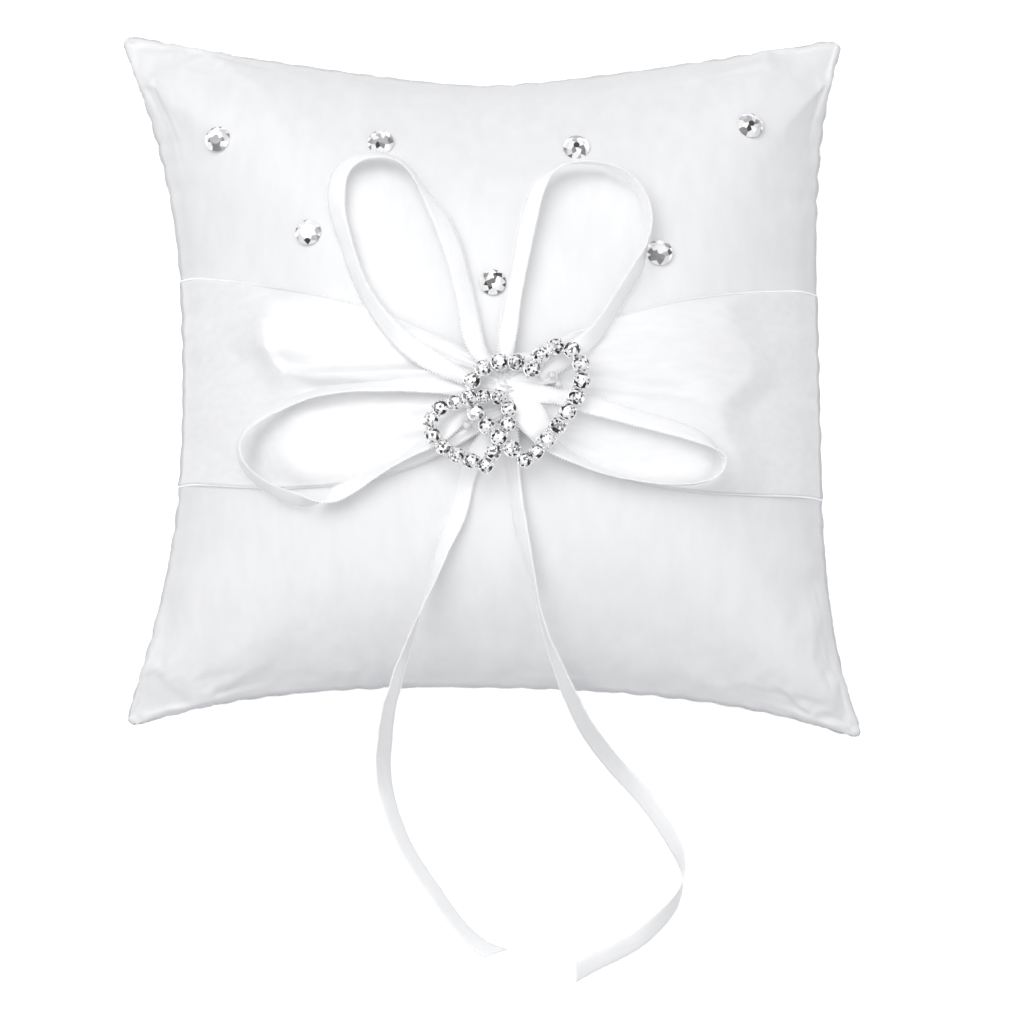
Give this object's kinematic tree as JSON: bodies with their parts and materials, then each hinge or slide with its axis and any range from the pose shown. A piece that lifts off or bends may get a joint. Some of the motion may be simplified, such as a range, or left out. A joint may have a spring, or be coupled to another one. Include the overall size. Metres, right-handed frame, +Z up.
{
  "type": "ring bearer pillow",
  "caption": "Small square satin ring pillow with a gathered sash, a looped ribbon bow with two long tails, an interlocked double heart set with stones, and clear crystals.",
  "frame": {"origin": "on the resting plane, under the middle of the pillow", "axes": "+Z up out of the front face, +Y to the pillow's top edge, +X to its right as seen from the front"},
  "size_m": [0.2067, 0.2667, 0.0763],
  "materials": {
    "cover_satin": "white polyester satin, soft sheen",
    "sash_satin": "white double-faced satin ribbon, glossy",
    "ribbon_satin": "white satin ribbon with woven edges, glossy",
    "thread": "white sewing thread",
    "fibre_fill": "loose white polyester fibre",
    "silver_plate": "bright silver plate",
    "clear_stone": "clear foil-backed cut glass"
  },
  "bodies": {
    "root": {"filling": "fibre_fill", "front_panel": "cover_satin", "back_panel": "cover_satin", "seam_thread": "thread", "sash_ribbon": "sash_satin", "gather_thread": "thread", "center_knot": "ribbon_satin", "double_heart_frame": "silver_plate", "loop_upper_left": "ribbon_satin", "loop_upper_right": "ribbon_satin", "loop_lower_left": "ribbon_satin", "loop_lower_right": "ribbon_satin", "tail_left": "ribbon_satin", "tail_right": "ribbon_satin", "large_heart_stone_01": "clear_stone", "large_heart_stone_02": "clear_stone", "large_heart_stone_03": "clear_stone", "large_heart_stone_04": "clear_stone", "large_heart_stone_05": "clear_stone", "large_heart_stone_06": "clear_stone", "large_heart_stone_07": "clear_stone", "large_heart_stone_08": "clear_stone", "large_heart_stone_09": "clear_stone", "large_heart_stone_10": "clear_stone", "large_heart_stone_11": "clear_stone", "large_heart_stone_12": "clear_stone", "large_heart_stone_13": "clear_stone", "large_heart_stone_14": "clear_stone", "large_heart_stone_15": "clear_stone", "large_heart_stone_16": "clear_stone", "large_heart_stone_17": "clear_stone", "large_heart_stone_18": "clear_stone", "large_heart_stone_19": "clear_stone", "large_heart_stone_20": "clear_stone", "large_heart_stone_21": "clear_stone", "small_heart_stone_01": "clear_stone", "small_heart_stone_02": "clear_stone", "small_heart_stone_03": "clear_stone", "small_heart_stone_04": "clear_stone", "small_heart_stone_05": "clear_stone", "small_heart_stone_06": "clear_stone", "small_heart_stone_07": "clear_stone", "small_heart_stone_08": "clear_stone", "small_heart_stone_09": "clear_stone", "small_heart_stone_10": "clear_stone", "small_heart_stone_11": "clear_stone", "small_heart_stone_12": "clear_stone", "small_heart_stone_13": "clear_stone", "crystal_top_left": "clear_stone", "crystal_top_mid_left": "clear_stone", "crystal_top_mid_right": "clear_stone", "crystal_top_right": "clear_stone", "crystal_mid_left": "clear_stone", "crystal_mid_right": "clear_stone", "crystal_centre": "clear_stone"}
  },
  "joints": []
}
